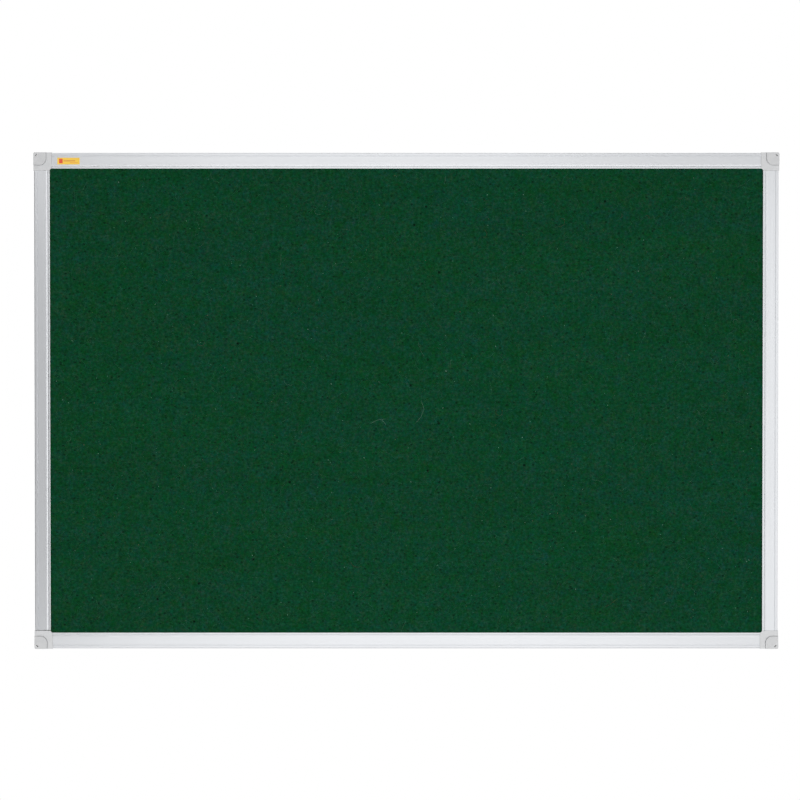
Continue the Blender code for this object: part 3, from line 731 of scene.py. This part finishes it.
def lint():
    """Hairs and specks on the felt: seeded ones, then those that the photograph shows."""
    chance = random.Random(LINT_SEED)
    strands = Strands()
    for _ in range(HAIR_COUNT):
        length = chance.uniform(*HAIR_LENGTH)
        rise = chance.uniform(*HAIR_RISE)
        start = random_place(chance)
        line = lying_line(chance, start, length, HAIR_STEPS, HAIR_BEND, rise)
        strands.tube(line, HAIR_RADIUS, HAIR_SIDES, chance.choice(HAIR_COLOURS))
    for pixels in PHOTO_HAIRS:
        places = [Vector((x, 0, z)) for x, z in map(photo_place, pixels)]
        line = []
        for before, after in zip(places, places[1:]):
            for k in range(PHOTO_HAIR_STEPS):
                spot = before.lerp(after, k / PHOTO_HAIR_STEPS)
                line.append(Vector((spot.x, felt_surface(spot.x, spot.z) - HAIR_RADIUS, spot.z)))
        last = places[-1]
        line.append(Vector((last.x, felt_surface(last.x, last.z), last.z)))
        strands.tube(line, PHOTO_HAIR_RADIUS, HAIR_SIDES, PHOTO_HAIR_COLOUR)
    spots = [random_place(chance) for _ in range(SPECK_COUNT)]
    for x, z in spots:
        centre = Vector((x, felt_surface(x, z), z))
        radius = chance.uniform(*SPECK_RADIUS)
        colour = chance.choice(SPECK_COLOURS)
        strands.grain(centre, radius, colour, chance.uniform(*SPECK_TURN))
    for pixel, share in PHOTO_SPECKS:
        x, z = photo_place(pixel)
        centre = Vector((x, felt_surface(x, z), z))
        colour = tuple(level * share for level in SPECK_COLOURS[0])
        strands.grain(centre, PHOTO_SPECK_RADIUS, colour, chance.uniform(*SPECK_TURN))
    return strands.mesh("felt_lint")


def thread_mesh(node):
    """The helical ridge round a screw's shank, standing on the node's own shank."""
    low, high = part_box(node)
    centre = (low + high) / 2
    back = high.y
    turns = (THREAD_END - THREAD_START) / THREAD_PITCH
    steps = round(turns * THREAD_STEPS_A_TURN)
    root = SHANK_RADIUS - THREAD_SINK
    points = []
    for k in range(steps + 1):
        share = k / steps
        angle = 2 * math.pi * turns * share
        depth = THREAD_START + (THREAD_END - THREAD_START) * share
        fade = min(1, share / THREAD_FADE_SHARE, (1 - share) / THREAD_FADE_SHARE)
        ridge = SHANK_RADIUS + THREAD_HEIGHT * fade
        first = depth - THREAD_HALF_WIDTH
        last = depth + THREAD_HALF_WIDTH
        for radius, along in ((root, first), (ridge, depth), (root, last)):
            x = centre.x + radius * math.cos(angle)
            z = centre.z + radius * math.sin(angle)
            points.append((x, back - along, z))
    faces = [(0, 1, 2), (3 * steps + 2, 3 * steps + 1, 3 * steps)]
    for k in range(steps):
        for side in range(3):
            after = (side + 1) % 3
            faces.append((3 * k + side, 3 * k + 3 + side, 3 * k + 3 + after, 3 * k + after))
    return closed_mesh(node + "_thread", points, faces)


# The board


def dress_board():
    """Finishes for all that is solid, and the threads of the small screws."""
    shading = shading_group()
    along_x = aluminium_material("anodised_aluminium_across", "X", (3, 2200, 2200))
    along_z = aluminium_material("anodised_aluminium_upright", "Z", (2200, 2200, 3))
    corner_plastic = plastic_material("corner_grey_plastic", CORNER_COLOURS)
    cap_plastic = plastic_material("cap_grey_plastic", CAP_COLOURS)
    zinc = screw_material()
    finishes = {
        "profile_top": along_x,
        "profile_bottom": along_x,
        "profile_left": along_z,
        "profile_right": along_z,
        "back_board": hardboard_material(),
        "core_board": softboard_material(),
        "label": label_material(),
    }
    for node in sorted(nodes):
        if node.startswith("corner_"):
            finishes[node] = corner_plastic
        if node.startswith("cap_"):
            finishes[node] = cap_plastic
        if node.startswith("screw_"):
            finishes[node] = zinc
            thread = new_object(node + "_thread", thread_mesh(node), zinc)
            on_board(thread)
    for node, material in finishes.items():
        finish_node(node, material, shading)


def dress_felt():
    """The felt with its relief in place of the plain cover, and what lies on it."""
    felt = new_object("felt_sheet", felt_mesh(), felt_material())
    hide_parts("felt_cover")
    on_board(felt)
    fibres = fibre_material()
    on_board(new_object("felt_pile", pile(), fibres))
    on_board(new_object("felt_lint", lint(), fibres))


# The studio


def aimed(name, data, place, target):
    """A lamp or camera at a place, turned towards a target."""
    obj = bpy.data.objects.new(name, data)
    bpy.context.scene.collection.objects.link(obj)
    obj.location = place
    obj.rotation_euler = (Vector(target) - Vector(place)).to_track_quat("-Z", "Y").to_euler()
    return obj


def softbox(name, place, target, width, height, radiance):
    """A rectangular lamp whose face has the given radiance."""
    data = bpy.data.lights.new(name, "AREA")
    data.shape = "RECTANGLE"
    data.size = width
    data.size_y = height
    data.energy = radiance * math.pi * width * height
    lamp = aimed(name, data, place, target)
    lamp.visible_camera = False
    return lamp


def lights():
    """Softboxes that the metal mirrors, and lamps that only light the board and its back."""
    for name, (across, up, width, height, radiance) in SOFTBOXES.items():
        place = (across, -SOFTBOX_DISTANCE, up)
        softbox(name, place, (across, 0, up), width, height, radiance)
    for name, (place, side, radiance) in LAMPS.items():
        lamp = softbox(name, place, (0, 0, 0), side, side, radiance)
        lamp.visible_glossy = False


def world():
    """A white backdrop for the camera and for mirrors that look behind, and a dimmer room in front."""
    made = bpy.data.worlds.new("studio")
    bpy.context.scene.world = made
    graph = Graph(made)
    path = graph.add("ShaderNodeLightPath").outputs
    direction = graph.add("ShaderNodeTexCoord").outputs["Generated"]
    towards = graph.add("ShaderNodeSeparateXYZ", {"Vector": direction}).outputs
    ramp = graph.add("ShaderNodeValToRGB", {"Fac": graph.span(towards["X"], -1.0, 1.0)})
    stops = ramp.color_ramp.elements
    while len(stops) < len(ROOM_LEVELS):
        stops.new(0.5)
    for stop, (side, level) in zip(stops, ROOM_LEVELS):
        stop.position = (side + 1) / 2
        stop.color = (level, level, level, 1)
    steep = graph.span(graph.math("ABSOLUTE", towards["Z"]), STEEP_FROM, STEEP_FULL)
    room = graph.blend(steep, ramp.outputs["Color"], STEEP_LEVEL)
    behind = graph.span(towards["Y"], -BACKDROP_EDGE, BACKDROP_EDGE)
    mirrored = graph.blend(behind, room, 1.0)
    reflects = graph.math("MAXIMUM", path["Is Glossy Ray"], path["Is Transmission Ray"])
    unseen = graph.blend(reflects, WORLD_LEVEL, mirrored)
    graph.set(Color=(1, 1, 1, 1), Strength=graph.blend(path["Is Camera Ray"], unseen, 1.0))


def floor():
    """A round pale floor below the board, clear at its rim so that it has no edge."""
    bm = bmesh.new()
    bmesh.ops.create_circle(bm, cap_ends=True, radius=FLOOR_RADIUS, segments=FLOOR_SIDES)
    mesh = bpy.data.meshes.new("floor")
    bm.to_mesh(mesh)
    bm.free()
    graph = Graph(bpy.data.materials.new("pale_floor"))
    length = graph.add("ShaderNodeVectorMath", {0: graph.place()}, operation="LENGTH")
    full = FLOOR_RADIUS * FLOOR_FADE_SHARE
    rim = graph.span(length.outputs["Value"], full, FLOOR_RADIUS, 1.0, 0.0)
    grain = graph.noise(graph.place(), 40, 3.0, 0.5)
    graph.set(Base_Color=graph.shade(grain, *FLOOR_COLOURS), Roughness=0.8, Alpha=rim)
    obj = new_object("floor", mesh, graph.owner)
    obj.location = (0, 0, cad_box[0][2] - FLOOR_DROP)


def camera():
    """The photograph's view: a long lens from almost straight in front."""
    data = bpy.data.cameras.new("photo_view")
    data.sensor_width = SENSOR_WIDTH
    board_width = cad_box[1][0] - cad_box[0][0]
    frame_width = board_width * PHOTO_SIZE / BOARD_PIXELS
    data.lens = SENSOR_WIDTH * CAMERA_DISTANCE / frame_width
    data.shift_x = (PHOTO_SIZE / 2 - BOARD_CENTRE_PIXEL[0]) / PHOTO_SIZE
    data.shift_y = (BOARD_CENTRE_PIXEL[1] - PHOTO_SIZE / 2) / PHOTO_SIZE
    target = Vector((0, cad_box[0][1], 0))
    away = Vector((0, -math.cos(CAMERA_RISE), math.sin(CAMERA_RISE)))
    obj = aimed("photo_camera", data, target + away * CAMERA_DISTANCE, target)
    bpy.context.scene.camera = obj


dress_board()
dress_felt()
floor()
world()
lights()
camera()
bpy.context.scene.view_settings.view_transform = "Standard"
